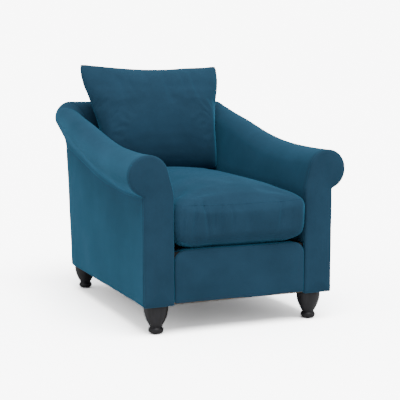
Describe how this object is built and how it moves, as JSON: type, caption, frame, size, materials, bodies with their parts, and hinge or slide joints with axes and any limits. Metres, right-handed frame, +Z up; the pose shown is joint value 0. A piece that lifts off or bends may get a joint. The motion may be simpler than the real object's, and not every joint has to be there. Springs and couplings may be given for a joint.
{
  "type": "upholstered armchair",
  "caption": "Low-footed scroll-arm armchair in velvet with sloping arms, loose seat and back cushions, sprung timber frame and turned wooden legs.",
  "frame": {"origin": "on the floor under the middle of the chair's overall width and depth", "axes": "+X to the right in a view along +Y at the chair front, which is the sitter left; -Y out of the chair front; +Z up"},
  "size_m": [0.856, 1.088, 0.965],
  "materials": {
    "velvet": "matte",
    "timber": "matte",
    "stained_wood": "satin",
    "steel": "satin",
    "jute": "matte",
    "filling": "matte",
    "lining_cloth": "matte",
    "nylon": "matte"
  },
  "bodies": {
    "chair": {"front_seat_rail": "timber", "rear_seat_rail": "timber", "left_seat_rail": "timber", "right_seat_rail": "timber", "corner_blocks": "timber", "left_arm_board": "timber", "right_arm_board": "timber", "left_arm_top_rail": "timber", "right_arm_top_rail": "timber", "left_arm_tack_rail": "timber", "right_arm_tack_rail": "timber", "left_back_post": "timber", "right_back_post": "timber", "back_top_rail": "timber", "back_tack_rail": "timber", "frame_dowels": "timber", "frame_screws": "steel", "arm_webbing": "jute", "back_webbing": "jute", "seat_springs": "steel", "spring_clips": "steel", "spring_felt": "jute", "deck_foam": "filling", "deck_cover": "lining_cloth", "front_border": "velvet", "left_arm_pad": "velvet", "right_arm_pad": "velvet", "back_pad": "velvet", "left_arm_facing": "velvet", "right_arm_facing": "velvet", "left_outside_arm": "velvet", "right_outside_arm": "velvet", "outside_back": "velvet", "dust_cover": "lining_cloth", "front_left_leg": "stained_wood", "front_right_leg": "stained_wood", "rear_left_leg": "stained_wood", "rear_right_leg": "stained_wood", "hanger_bolts": "steel", "t_nuts": "steel", "leg_glides": "nylon"},
    "seat_cushion": {"seat_cushion_cover": "velvet", "seat_cushion_core": "filling", "seat_zip_tape": "lining_cloth"},
    "back_cushion": {"back_cushion_cover": "velvet", "back_cushion_core": "filling", "back_zip_tape": "lining_cloth"},
    "seat_zip_slider_body": {"seat_zip_slider": "steel"},
    "back_zip_slider_body": {"back_zip_slider": "steel"}
  },
  "joints": [
    {"name": "seat_cushion_pull", "type": "slide", "parent": "chair", "child": "seat_cushion", "axis": [0, -1, 0], "range_m": [0, 0.95]},
    {"name": "back_cushion_lift", "type": "slide", "parent": "chair", "child": "back_cushion", "axis": [0, 0, 1], "range_m": [0, 0.45]},
    {"name": "seat_zip", "type": "slide", "parent": "seat_cushion", "child": "seat_zip_slider_body", "axis": [1, 0, 0], "range_m": [0, 0.37]},
    {"name": "back_zip", "type": "slide", "parent": "back_cushion", "child": "back_zip_slider_body", "axis": [1, 0, 0], "range_m": [0, 0.346]}
  ]
}
